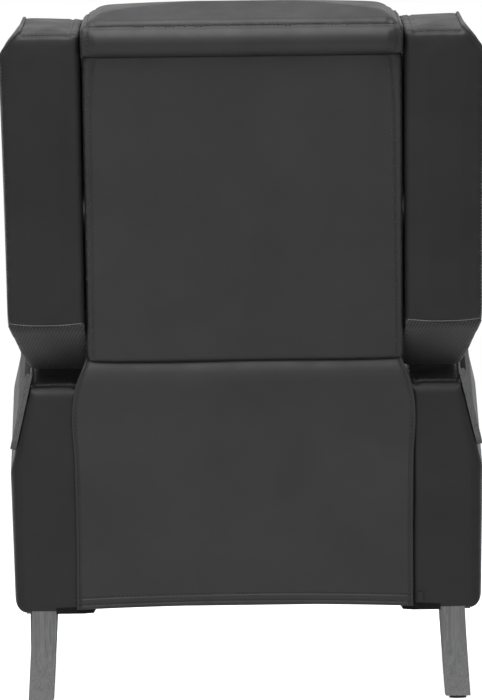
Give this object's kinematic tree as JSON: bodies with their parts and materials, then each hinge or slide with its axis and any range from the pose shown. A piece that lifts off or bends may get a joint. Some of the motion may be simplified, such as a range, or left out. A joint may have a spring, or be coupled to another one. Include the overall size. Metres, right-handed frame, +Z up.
{
  "type": "wingback push-back recliner armchair",
  "caption": "Upholstered wingback armchair whose tilting back pushes the seat forward and unfolds a footrest on a scissor linkage, on wooden legs.",
  "frame": {"origin": "centre of the bounding box on the floor", "axes": "+Z up, +Y towards the rear of the chair, +X across it"},
  "size_m": [0.777, 0.8314, 1.0532],
  "materials": {
    "grey_wood": "satin",
    "frame_wood": "matte",
    "black_board": "matte",
    "charcoal_leather": "satin",
    "black_twill": "matte",
    "webbing": "matte",
    "black_steel": "satin",
    "bare_steel": "satin",
    "nylon": "matte"
  },
  "bodies": {
    "base": {"rear_leg_left": "grey_wood", "rear_leg_right": "grey_wood", "front_leg_left": "grey_wood", "front_leg_right": "grey_wood", "leg_glides": "nylon", "base_runner_left": "black_board", "base_runner_right": "black_board", "base_rear_rail": "frame_wood", "base_front_board": "frame_wood", "base_side_rails": "frame_wood", "seat_slide_channels": "black_steel", "arm_pad_left": "charcoal_leather", "arm_pad_right": "charcoal_leather", "arm_frames": "frame_wood", "pivot_bushes": "nylon", "arm_trim_left": "grey_wood", "arm_trim_right": "grey_wood", "rear_apron": "charcoal_leather", "apron_hook": "nylon"},
    "back": {"back_stiles": "frame_wood", "back_top_rail": "frame_wood", "back_middle_rail": "frame_wood", "back_bottom_rail": "frame_wood", "back_webbing": "webbing", "back_brackets": "black_steel", "lumbar_cushion": "charcoal_leather", "upper_back_cushion": "charcoal_leather", "outer_back_panel": "charcoal_leather", "head_roll": "charcoal_leather", "wing_pad_left": "charcoal_leather", "wing_pad_right": "charcoal_leather", "wing_undersides": "black_twill", "wing_frames": "frame_wood", "wing_spacers": "bare_steel"},
    "seat": {"seat_side_rails": "frame_wood", "seat_front_board": "frame_wood", "seat_rear_board": "frame_wood", "seat_webbing": "webbing", "seat_cushion": "charcoal_leather", "seat_slide_blocks": "nylon", "seat_drive_arms": "black_steel", "mechanism_plates": "black_steel", "seat_pivot_pins": "bare_steel"},
    "scissor_a1": {"footrest_a1_bars": "black_steel", "footrest_cross_tube": "black_steel"},
    "scissor_b1": {"footrest_b1_bars": "black_steel", "footrest_guide_pins": "bare_steel"},
    "scissor_a2": {"footrest_a2_bars": "black_steel"},
    "scissor_b2": {"footrest_b2_bars": "black_steel"},
    "footrest": {"footrest_brackets": "black_steel", "footrest_board": "frame_wood", "footrest_pad": "charcoal_leather"},
    "footrest_stay": {"footrest_stays": "black_steel"}
  },
  "joints": [
    {"name": "back_recline", "type": "hinge", "parent": "base", "child": "back", "pos_m": [0, 0.2243, 0.445], "axis": [-1, 0, 0], "range_deg": [0, 26], "deforming": ["rear_apron"]},
    {"name": "seat_slide", "type": "slide", "parent": "base", "child": "seat", "axis": [0, -0.9962, 0.0872], "range_m": [0, 0.05196]},
    {"name": "upper_bar_swing", "type": "hinge", "parent": "seat", "child": "scissor_a1", "pos_m": [0, -0.2914, 0.322], "axis": [-1, 0, 0], "range_deg": [0, 60.12]},
    {"name": "first_cross_swing", "type": "hinge", "parent": "scissor_a1", "child": "scissor_b1", "pos_m": [0, -0.29968, 0.25451], "axis": [-1, 0, 0], "range_deg": [-100.2, 0]},
    {"name": "second_cross_swing", "type": "hinge", "parent": "scissor_b1", "child": "scissor_a2", "pos_m": [0, -0.31957, 0.31954], "axis": [-1, 0, 0], "range_deg": [0, 100.2]},
    {"name": "lower_bar_swing", "type": "hinge", "parent": "scissor_a1", "child": "scissor_b2", "pos_m": [0, -0.30797, 0.18701], "axis": [-1, 0, 0], "range_deg": [-100.2, 0]},
    {"name": "footrest_turn", "type": "hinge", "parent": "scissor_b2", "child": "footrest", "pos_m": [0, -0.34773, 0.31707], "axis": [-1, 0, 0], "range_deg": [0, 120.24]},
    {"name": "stay_turn", "type": "hinge", "parent": "footrest", "child": "footrest_stay", "pos_m": [0, -0.34913, 0.26007], "axis": [-1, 0, 0], "range_deg": [-113.16, 0]}
  ],
  "couplings": [
    {"joint": "seat_slide", "follows": "back_recline", "m_per_rad": 0.1144},
    {"joint": "upper_bar_swing", "follows": "back_recline", "ratio": 2.3077},
    {"joint": "first_cross_swing", "follows": "back_recline", "ratio": -3.8462},
    {"joint": "second_cross_swing", "follows": "back_recline", "ratio": 3.8462},
    {"joint": "lower_bar_swing", "follows": "back_recline", "ratio": -3.8462},
    {"joint": "footrest_turn", "follows": "back_recline", "ratio": 4.6154},
    {"joint": "stay_turn", "follows": "back_recline", "ratio": -4.3435}
  ]
}
